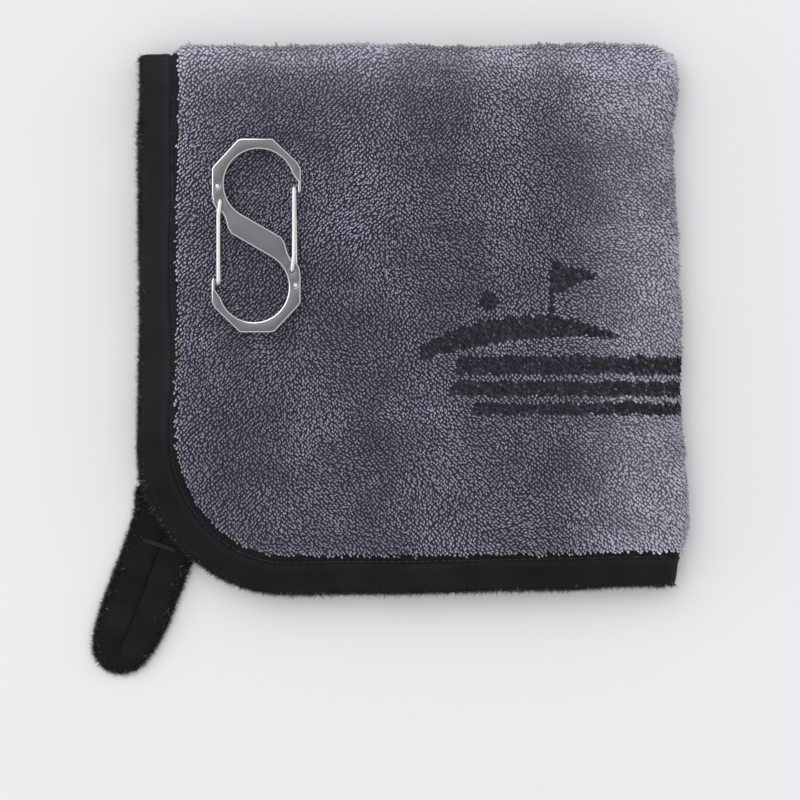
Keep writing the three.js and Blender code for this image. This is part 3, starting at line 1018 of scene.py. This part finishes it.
class BINDING_OT_tape(Operator):
    """Fold the knit tape round the towel's edge, with a furrow where its seam pulls it in"""

    bl_idname = "golf_towel.fold_binding"
    bl_label = "Edge binding"

    def execute(self, context):
        sizes = context.scene.towel_sizes
        fold = Fold(sizes)
        stations = outline_stations(fold, 1.7 * MM, 0.45 * MM)
        length = fold.outline_length()
        profile = np.arange(2 * len(BINDING_PROFILE) - 1, dtype=float)

        def place(s, v):
            inset, n = binding_profile(v)
            # whole turns round the edge, so the ends of the tape meet
            turn = s * TAU / length
            pucker = np.sin(turn * 211 + 2.0 * np.sin(turn * 17))
            pucker = pucker + 0.7 * np.sin(turn * 149 + 3.0 * np.sin(turn * 11))
            wander = np.sin(turn * 23 + 1.3) + 0.6 * np.sin(turn * 41) + 0.4 * np.sin(turn * 67 + 0.4)
            face = smooth((inset - 0.3 * MM) / (3.0 * MM)) * smooth((14.0 * MM - inset) / (4.0 * MM))
            n = n + np.sign(n) * face * 0.055 * MM * pucker
            inset = np.maximum(inset + 0.16 * MM * wander, 0.0)
            a, b, _, _ = fold.outline(s, inset)
            return fold.lay(a, b, n)

        mesh, s, v = grid_mesh("binding_tape", stations, profile, place)
        inset, _ = binding_profile(v)
        a, b, _, _ = fold.outline(s, inset)
        # painted light and shade with some wear: the tape is coloured paler along the left edge and over the
        # ridges, darker in the furrow, and unevenly worn along its length
        left = smooth((0.030 - np.minimum(a, fold.width - a)) / 0.018) * smooth((b - 0.030) / 0.050)
        furrow = np.exp(-((inset / MM - 11.6) / 0.75) ** 2)
        ridge = np.exp(-((inset / MM - 9.6) / 0.9) ** 2) + 0.6 * np.exp(-((inset / MM - 1.0) / 0.8) ** 2)
        wear_and_painted_shading = 0.07 + 0.28 * left - 0.25 * furrow + 0.16 * ridge + 0.05 * ripple(s, inset, 0.021, 71)
        point_attribute(mesh, "wear_and_painted_shading", np.clip(wear_and_painted_shading, 0.0, 1.0))
        vector_attribute(mesh, "run", np.stack([s / MM, inset / MM, v], axis=-1))
        weld(mesh)
        self.face_outward(mesh)
        shaded(mesh)
        material = finish_named("brushed_knit_tape", tape_finish, context.scene.towel_finishes)
        tape = piece("binding_tape", mesh, [material], "towel", ["edge_binding"])
        thicken(tape, 0.4 * MM, -1.0)
        return {"FINISHED"}

    def face_outward(self, mesh):
        """Turns the whole tape over if the face nearest the front of the stack points down."""
        highest = max(mesh.polygons, key=lambda face: face.center.z)
        if highest.normal.z < 0:
            mesh.flip_normals()


class BINDING_OT_stitches(Operator):
    """Sew the binding with a row of thread on each of its faces"""

    bl_idname = "golf_towel.sew_binding"
    bl_label = "Binding seam"

    def execute(self, context):
        sizes = context.scene.towel_sizes
        fold = Fold(sizes)
        spacing = 2.7 * MM
        count = round(fold.outline_length() / spacing)
        s = (np.arange(count) + 0.5) * fold.outline_length() / count
        inset = np.full(count, sizes.seam_inset)
        rows = (("needle_stitches", "seam_needle_thread", 1), ("bobbin_stitches", "seam_bobbin_thread", -1))
        for name, node, side in rows:
            height = np.full(count, side * 0.60 * MM)
            ends = []
            for shift in (-0.42, 0.42):
                a, b, _, _ = fold.outline((s + shift * spacing) % fold.outline_length(), inset)
                ends.append(fold.lay(a, b, height))
            a, b, _, _ = fold.outline(s, inset)
            out = fold.axes(a, b, height)[3]
            sewn_threads(name, node, ends[0], ends[1], out, 0.27 * MM, (0.10, 0.62), context)
        return {"FINISHED"}


class BINDING_OT_nap(Operator):
    """Raise loose fibres along the binding's outer edges"""

    bl_idname = "golf_towel.raise_nap"
    bl_label = "Binding nap"

    def execute(self, context):
        fold = Fold(context.scene.towel_sizes)
        rng = np.random.default_rng(77)
        count = 21000
        s = rng.uniform(0.0, fold.outline_length(), count)
        around = rng.normal(0.15, 0.6, count)
        inset = (1.0 - np.cos(around)) * 1.1 * MM
        n = np.sin(around) * 1.05 * MM
        a, b, out_a, out_b = fold.outline(s, inset)
        roots, across, up, out = fold.axes(a, b, n)
        outward = across * out_a[:, None] + up * out_b[:, None]
        stand = outward * np.cos(around)[:, None] + out * np.sin(around)[:, None]
        along = np.cross(out, outward)
        material = finish_named("tape_nap", nap_finish, context.scene.towel_finishes)
        fibres = nap_mesh("binding_nap", rng, roots, along, np.cross(stand, along), stand)
        piece("binding_nap", fibres, [material], "towel")
        return {"FINISHED"}


def sewn_threads(name, node, starts, ends, out, girth, taper, context):
    """Short lengths of thread from the starts to the ends, lying on a surface whose way out is given.

    taper is how far along a length its end tapers, and its share of the full girth there.
    """
    count = len(starts)
    inset, share = taper
    strand = ringed_column(
        "strand", 5, [(0.0, 0.0), (inset, share), (0.5, 1.0), (1.0 - inset, share), (1.0, 0.0)])
    along = ends - starts
    length = np.linalg.norm(along, axis=-1)
    along /= length[:, None]
    sideways = np.cross(out, along)
    sideways /= np.linalg.norm(sideways, axis=-1)[:, None]
    straight = np.zeros(count)
    mesh = planted(
        name, strand, starts, (sideways, np.cross(along, sideways), along),
        np.full(count, girth), length, (straight, straight))
    shaded(mesh)
    material = finish_named("sewing_thread", thread_finish, context.scene.towel_finishes)
    piece(name, mesh, [material], "towel", [node])


def nap_mesh(name, rng, roots, first, second, stand):
    """Fine bent fibres on the roots, most of them short and dark and a few long and pale."""
    count = len(roots)
    fibre = ringed_column("fibre", 3, [(0.0, 1.0), (0.5, 0.75), (1.0, 0.0)])
    length = np.clip(rng.lognormal(0.10, 0.45, count), 0.35, 2.6) * MM
    lean = (length * rng.normal(0.0, 0.55, count), length * rng.normal(0.0, 0.45, count))
    sunk = roots - stand * 0.08 * MM
    mesh = planted(
        name, fibre, sunk, (first, second, stand), np.full(count, 0.085 * MM), length, lean)
    point_attribute(mesh, "tone", np.repeat(rng.beta(1.2, 2.2, count), len(fibre.vertices)))
    shaded(mesh)
    return mesh


# ---- Hanging loop ----


class LoopLayout:
    """The loop's own plane: x across it from its middle line, y along it from the corner's centre."""

    def __init__(self, sizes, towel):
        self.sizes = sizes
        turn = sizes.aim - math.pi / 2
        self.across = np.array([math.cos(turn), math.sin(turn), 0.0])
        self.along = np.array([-math.sin(turn), math.cos(turn), 0.0])
        self.centre = np.array([BOUND_LEFT + towel.corner, BOUND_BOTTOM + towel.corner, 0.0])
        self.half = sizes.leg_width / 2
        self.spread = self.half - 0.1 * MM
        self.turn_y = sizes.reach - self.spread - self.half
        self.left_start = 33.0 * MM
        self.right_start = 43.5 * MM

    def place(self, x, y, z):
        x = np.asarray(x)[..., None]
        y = np.asarray(y)[..., None]
        height = np.asarray(z)[..., None] * np.array([0.0, 0.0, 1.0])
        return self.centre + (self.sizes.side + x) * self.across + y * self.along + height

    def path_length(self):
        return (self.turn_y - self.left_start) + math.pi * self.spread + (self.turn_y - self.right_start)

    def path(self, s):
        """A place on the middle of the tape and the way out to its right, s from the left leg's root."""
        down = self.turn_y - self.left_start
        arc = math.pi * self.spread
        turn = np.clip((s - down) / self.spread, 0.0, math.pi)
        x = self.spread * np.cos(turn)
        y = np.minimum(self.left_start + s, self.turn_y) + self.spread * np.sin(turn)
        y = y - np.maximum(s - down - arc, 0.0)
        return x, y, np.cos(turn), np.sin(turn)


class LOOP_OT_tape(Operator):
    """Lay the doubled tape of the hanging loop down one leg, round its end and back up the other"""

    bl_idname = "golf_towel.lay_loop"
    bl_label = "Hanging loop"

    def execute(self, context):
        sizes = context.scene.loop_sizes
        layout = LoopLayout(sizes, context.scene.towel_sizes)
        length = layout.path_length()
        round_tape = np.linspace(0.0, TAU, 29)
        stations = np.linspace(0.0, length, 130)

        def place(s, angle):
            x, y, out_x, out_y = layout.path(s)
            taper = 1.0 - 0.15 * smooth((y - 0.076) / 0.022)
            half = layout.half * taper
            # a flat oval with a soft dent along the edge where the two legs meet
            across = np.sign(np.cos(angle)) * np.abs(np.cos(angle)) ** 0.75 * half
            across = np.maximum(across, (0.04 * MM - layout.spread) * taper)
            rise = np.sign(np.sin(angle)) * np.abs(np.sin(angle)) ** 0.62
            radius = np.hypot(sizes.side + x, y)
            tucked = smooth((0.0575 - radius) / 0.0035)
            thickness = sizes.thickness * (1.0 - 0.62 * tucked)
            crumple = 0.16 * MM * ripple(x * 1.4, y, 0.016, 61) + 0.07 * MM * ripple(x * 2.5, y, 0.006, 62)
            swell = 0.28 * MM * np.sin((s / length) * TAU * 2.0 + 0.6)
            z = 1.5 * MM + rise * thickness / 2
            z = z + np.maximum(rise, 0.0) * (1.0 - tucked) * (crumple + swell * 0.5)
            wander = 0.35 * MM * np.sin(y * 90.0) * (1.0 - tucked) + 1.3 * MM * smooth((y - 0.080) / 0.022)
            # the left leg spreads where it runs in under the corner
            flare = 2.2 * MM * smooth((0.0455 - y) / 0.012) * (x > 0) * smooth((across + half) / (2 * half))
            px = x * taper + out_x * across + wander + flare
            py = y + out_y * across
            return layout.place(px, py, np.maximum(z, 0.06 * MM))

        mesh, s, angle = grid_mesh("loop_tape", stations, round_tape, place)
        vector_attribute(mesh, "run", np.stack([s / MM, np.cos(angle) * layout.half / MM, angle], axis=-1))
        # painted shade: the tape is coloured darker along the inner edge where the two legs meet; the rest
        # is random wear
        crease = smooth((-np.cos(angle) - 0.55) / 0.4)
        wear_and_painted_shading = 0.05 - 0.05 * crease + 0.06 * ripple(s, angle * 0.003, 0.016, 72)
        point_attribute(mesh, "wear_and_painted_shading", np.clip(wear_and_painted_shading, 0.0, 1.0))
        weld(mesh, 2e-6, outward=True, close=True)
        shaded(mesh)
        finishes = context.scene.towel_finishes
        material = finish_named("brushed_knit_tape", tape_finish, finishes)
        loop = piece("loop_tape", mesh, [material], None, ["hanging_loop", "loop_root"])
        start, end = self.bend(layout)
        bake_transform(loop)
        nap = self.nap(context, layout, place, length)
        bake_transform(nap)
        self.tack(context, layout)
        return {"FINISHED"}

    def bend(self, layout):
        """Where the tape starts and ends its turn about the loop's hinge line."""
        hinge = layout.sizes.hinge
        start = layout.place(0.0, hinge - 1.6 * MM, 1.5 * MM)
        end = layout.place(0.0, hinge + 2.4 * MM, 1.5 * MM)
        return tuple(start), tuple(end)

    def nap(self, context, layout, place, length):
        rng = np.random.default_rng(78)
        count = 7600
        s = rng.uniform(0.001, length - 0.004, count)
        angle = rng.normal(0.0, 0.5, count)
        _, _, out_x, out_y = layout.path(s)
        roots = place(s, angle)
        stand = layout.across * out_x[:, None] + layout.along * out_y[:, None]
        stand = stand * np.cos(angle)[:, None] + np.array([0.0, 0.0, 1.0]) * np.sin(angle)[:, None]
        first = layout.along * out_x[:, None] - layout.across * out_y[:, None]
        mesh = nap_mesh("loop_nap", rng, roots, first, np.cross(stand, first), stand)
        material = finish_named("tape_nap", nap_finish, context.scene.towel_finishes)
        return piece("loop_nap", mesh, [material])

    def tack(self, context, layout):
        """The close zigzag that holds both legs to the corner."""
        count = 20
        x = np.linspace(-5.9, 5.9, count) * MM
        middle = layout.sizes.hinge - 2.1 * MM
        slant = np.where(np.arange(count) % 2, 0.25, -0.25) * MM
        height = np.full(count, 2.82 * MM)
        low = layout.place(x - slant, np.full(count, middle - 0.95 * MM), height)
        high = layout.place(x + slant, np.full(count, middle + 0.95 * MM), height)
        up = np.tile([0.0, 0.0, 1.0], (count, 1))
        sewn_threads("loop_tack", "loop_bar_tack", low, high, up, 0.34 * MM, (0.08, 0.7), context)


# ---- Carabiner ----


# places on the plate, in millimetres from its middle
RING_CENTRE = (0.9, 18.9)
WIRE_HINGE = (-13.1, 12.9)
WIRE_ANCHOR = (-14.3, 18.1)
WIRE_NOSE = (-13.8, -17.4)
WIRE_HOLES = [(side * x, side * y) for x, y in (WIRE_HINGE, WIRE_ANCHOR) for side in (1, -1)]
PLATE_HOOK = ((15.1, 15.9), (15.2, 19.6))
PLATE_SPINE = (
    (10.5, -2.7), (11.5, -6.5), (12.6, -8.6), (15.1, -10.3), (15.9, -11.8), (16.3, -14.8),
    (16.3, -24.4), (15.6, -25.6), (6.8, -35.1), (5.2, -35.5), (-6.0, -35.5), (-15.2, -26.7),
    (-16.4, -24.3), (-16.4, -16.6), (-16.0, -15.4),
)


def plate_outline(ring):
    """Half of the S, from the upper hook's tip to the lower hook's, in millimetres."""
    half = list(PLATE_HOOK)
    first, last, steps = 17, 240, 48
    for step in range(steps + 1):
        turn = math.radians(first + (last - first) * step / steps)
        half.append((RING_CENTRE[0] + ring * math.cos(turn), RING_CENTRE[1] + ring * math.sin(turn)))
    # the ring runs on into the slanted spine
    end_x, end_y = half[-1]
    spine_x = 9.2
    half.append((spine_x, end_y - (spine_x - end_x) * math.tan(math.radians(30))))
    half.extend(PLATE_SPINE)
    return half + [(-x, -y) for x, y in half]


class CARABINER_OT_plate(Operator):
    """Stamp the S-shaped plate with its wire holes and polished bevels"""

    bl_idname = "golf_towel.stamp_plate"
    bl_label = "Carabiner plate"

    def execute(self, context):
        sizes = context.scene.carabiner_sizes
        finishes = context.scene.towel_finishes
        bm = bmesh.new()
        rims = [(x * MM, y * MM) for x, y in plate_outline(sizes.ring / MM)]
        self.ring_of_edges(bm, rims)
        for x, y in WIRE_HOLES:
            place = Matrix.Translation((x * MM, y * MM, 0.0))
            bmesh.ops.create_circle(bm, segments=20, radius=sizes.hole, matrix=place)
        bmesh.ops.triangle_fill(bm, use_beauty=True, edges=bm.edges)
        thickness = PLATE_HIGH.z - PLATE_LOW.z
        grown = bmesh.ops.extrude_face_region(bm, geom=bm.faces)["geom"]
        lifted = [item for item in grown if isinstance(item, bmesh.types.BMVert)]
        bmesh.ops.translate(bm, vec=(0.0, 0.0, thickness), verts=lifted)
        bmesh.ops.recalc_face_normals(bm, faces=bm.faces)
        rims = [
            edge for edge in bm.edges
            if abs(edge.verts[0].co.z - edge.verts[1].co.z) < 1e-6
            and edge.calc_face_angle(0.0) > math.radians(60)
        ]
        for edges, width in (
            ([edge for edge in rims if not self.in_hole(edge)], sizes.edge),
            ([edge for edge in rims if self.in_hole(edge)], 0.18 * MM),
        ):
            bmesh.ops.bevel(
                bm, geom=edges, offset=width, offset_type="OFFSET", affect="EDGES",
                segments=2, profile=0.5, material=-1, clamp_overlap=False)
        bm.normal_update()
        for face in bm.faces:
            face.material_index = 0 if abs(face.normal.z) > 0.97 else 1
        bmesh.ops.translate(bm, vec=(PLATE_MIDDLE.x, PLATE_MIDDLE.y, PLATE_LOW.z), verts=bm.verts)
        mesh = mesh_from(bm, "carabiner_plate")
        shaded(mesh, 24)
        materials = [
            finish_named("blasted_steel", blasted_steel, finishes),
            finish_named("polished_edge", polished_steel, "polished_edge", (0.76, 0.75, 0.74), 0.16, 0.25),
        ]
        piece("carabiner_plate", mesh, materials, "carabiner", ["carabiner_frame"])
        return {"FINISHED"}

    def ring_of_edges(self, bm, places):
        verts = [bm.verts.new((x, y, 0.0)) for x, y in places]
        for first, second in zip(verts, verts[1:] + verts[:1]):
            bm.edges.new((first, second))

    def in_hole(self, edge):
        middle = (edge.verts[0].co + edge.verts[1].co) / 2
        return any(math.hypot(middle.x - x * MM, middle.y - y * MM) < 1.3 * MM for x, y in WIRE_HOLES)


def rounded_path(corners, radius, steps=7):
    """The corners' path with each turn rounded."""
    places = [Vector(corners[0])]
    for before, corner, after in zip(corners, corners[1:], corners[2:]):
        corner = Vector(corner)
        arriving = (corner - Vector(before)).normalized()
        leaving = (Vector(after) - corner).normalized()
        turn = arriving.angle(leaving)
        if turn < 1e-3:
            continue
        back = radius * math.tan(turn / 2)
        axis = arriving.cross(leaving).normalized()
        to_centre = axis.cross(arriving) * radius
        centre = corner - arriving * back + to_centre
        for step in range(steps + 1):
            places.append(centre + Matrix.Rotation(turn * step / steps, 3, axis) @ -to_centre)
    places.append(Vector(corners[-1]))
    return places


class CARABINER_OT_wires(Operator):
    """Bend the two spring wire gates into their holes"""

    bl_idname = "golf_towel.bend_wires"
    bl_label = "Wire gates"

    def execute(self, context):
        sizes = context.scene.carabiner_sizes
        finishes = context.scene.towel_finishes
        material = finish_named(
            "polished_wire", polished_steel, "polished_wire", tuple(finishes.wire), 0.13, 0.24)
        thickness = (PLATE_HIGH.z - PLATE_LOW.z) / MM
        top = thickness / 2
        leg = top + 0.3 + sizes.wire / MM / 2
        corners = [
            (WIRE_HINGE[0], WIRE_HINGE[1], 0.3 - top),
            (WIRE_HINGE[0], WIRE_HINGE[1], leg),
            (WIRE_NOSE[0], WIRE_HINGE[1] - 6.0, leg),
            (WIRE_NOSE[0], WIRE_NOSE[1], leg),
            (WIRE_NOSE[0], WIRE_NOSE[1], -leg),
            (WIRE_ANCHOR[0], WIRE_ANCHOR[1], -leg),
            (WIRE_ANCHOR[0], WIRE_ANCHOR[1], top - 0.1),
        ]
        for name, gate, side in (("lower_wire", "lower_gate", 1), ("upper_wire", "upper_gate", -1)):
            path = rounded_path(corners, 1.05)
            places = [
                Vector((side * p.x, side * p.y, p.z)) * MM + PLATE_MIDDLE for p in path]
            mesh = self.drawn_wire(name, places, sizes.wire / 2)
            wire = piece(name, mesh, [material], None, [gate, gate + "_root"])
            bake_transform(wire)
        return {"FINISHED"}

    def drawn_wire(self, name, places, radius):
        curve = bpy.data.curves.new(name + "_path", "CURVE")
        curve.dimensions = "3D"
        curve.bevel_depth = radius
        curve.bevel_resolution = 4
        curve.use_fill_caps = True
        close = [places[0]]
        for place in places[1:]:
            run = place - close[-1]
            cuts = max(1, int(run.length / (1.2 * MM)))
            origin = close[-1].copy()
            close.extend(origin + run * (cut + 1) / cuts for cut in range(cuts))
        spline = curve.splines.new("POLY")
        spline.points.add(len(close) - 1)
        for point, place in zip(spline.points, close):
            point.co = (*place, 1.0)
        holder = bpy.data.objects.new(name + "_holder", curve)
        bpy.context.scene.collection.objects.link(holder)
        mesh = bpy.data.meshes.new_from_object(holder.evaluated_get(bpy.context.evaluated_depsgraph_get()))
        bpy.data.objects.remove(holder)
        mesh.name = name
        weld(mesh, 1e-6, outward=True)
        shaded(mesh, 50)
        return mesh


# ---- An empty step ----


class CLOTH_OT_declare(Operator):
    """A step that does nothing, and returns at once"""

    bl_idname = "golf_towel.record_sheet"
    bl_label = "Record the sheet"

    def execute(self, context):
        return {"FINISHED"}


# ---- Stage ----


class STAGE_OT_set(Operator):
    """Set the floor, the soft lights and the camera above the towel"""

    bl_idname = "golf_towel.set_stage"
    bl_label = "Stage"

    def execute(self, context):
        scene = context.scene
        scene.view_settings.view_transform = "Standard"
        bm = bmesh.new()
        bmesh.ops.create_grid(bm, x_segments=2, y_segments=2, size=6.0)
        floor = bpy.data.objects.new("floor", mesh_from(bm, "floor"))
        scene.collection.objects.link(floor)
        floor.data.materials.append(floor_finish(scene.towel_finishes))
        world = bpy.data.worlds.new("soft_studio")
        world.use_nodes = True
        background = world.node_tree.nodes["Background"]
        background.inputs["Color"].default_value = (0.97, 0.97, 1.0, 1.0)
        background.inputs["Strength"].default_value = 0.765
        scene.world = world
        self.light("SUN", "key_light", (-0.55, 0.62, 1.0), 0.98, angle=math.radians(60))
        strip = {"shape": "RECTANGLE", "size": 0.9, "size_y": 0.16}
        self.light("AREA", "left_strip", (-0.85, -0.10, 0.22), 1.7, **strip)
        self.light("AREA", "right_strip", (0.85, 0.20, 0.22), 1.25, **strip)
        self.overhead_camera(scene)
        return {"FINISHED"}

    def light(self, kind, name, place, power, **settings):
        """A light that looks at the middle of the towel."""
        light = bpy.data.lights.new(name, kind)
        light.energy = power
        for setting, value in settings.items():
            setattr(light, setting, value)
        holder = bpy.data.objects.new(name, light)
        holder.location = place
        holder.rotation_euler = (-Vector(place)).to_track_quat("-Z", "Y").to_euler()
        bpy.context.scene.collection.objects.link(holder)

    def overhead_camera(self, scene):
        lens = 120.0
        sensor = 36.0
        # width of the floor that the view takes in, level with the top of the towel
        seen = 0.2936
        camera = bpy.data.cameras.new("camera")
        camera.lens = lens
        camera.sensor_width = sensor
        camera.clip_start = 0.01
        holder = bpy.data.objects.new("camera", camera)
        holder.location = (0.004533, -0.015734, STACK_TOP + seen * lens / sensor)
        scene.collection.objects.link(holder)
        scene.camera = holder


# ---- Panel and registration ----


STEPS = (
    CLOTH_OT_fold, CLOTH_OT_pile, BINDING_OT_tape, BINDING_OT_stitches, BINDING_OT_nap, LOOP_OT_tape,
    CARABINER_OT_plate, CARABINER_OT_wires, CLOTH_OT_declare, STAGE_OT_set,
)


class VIEW3D_PT_golf_towel(Panel):
    """Sizes, finishes and making steps of the folded towel"""

    bl_idname = "VIEW3D_PT_golf_towel"
    bl_label = "Folded golf towel"
    bl_space_type = "VIEW_3D"
    bl_region_type = "UI"
    bl_category = "Towel"

    def draw(self, context):
        for group in GROUPS:
            values = getattr(context.scene, group)
            box = self.layout.box()
            for name in values.__annotations__:
                box.prop(values, name)
        for step in STEPS:
            self.layout.operator(step.bl_idname)


GROUPS = {
    "towel_sizes": TowelSizes,
    "loop_sizes": LoopSizes,
    "carabiner_sizes": CarabinerSizes,
    "towel_finishes": Finishes,
}


CLASSES = (*GROUPS.values(), *STEPS, VIEW3D_PT_golf_towel)


def register():
    for kind in CLASSES:
        bpy.utils.register_class(kind)
    for name, group in GROUPS.items():
        setattr(bpy.types.Scene, name, PointerProperty(type=group))


def unregister():
    for name in GROUPS:
        delattr(bpy.types.Scene, name)
    for kind in reversed(CLASSES):
        bpy.utils.unregister_class(kind)


def main():
    register()
    bpy.ops.golf_towel.fold_cloth()
    bpy.ops.golf_towel.plant_pile()
    bpy.ops.golf_towel.fold_binding()
    bpy.ops.golf_towel.sew_binding()
    bpy.ops.golf_towel.raise_nap()
    bpy.ops.golf_towel.lay_loop()
    bpy.ops.golf_towel.stamp_plate()
    bpy.ops.golf_towel.bend_wires()
    bpy.ops.golf_towel.record_sheet()
    bpy.ops.golf_towel.set_stage()


if __name__ == "__main__":
    main()
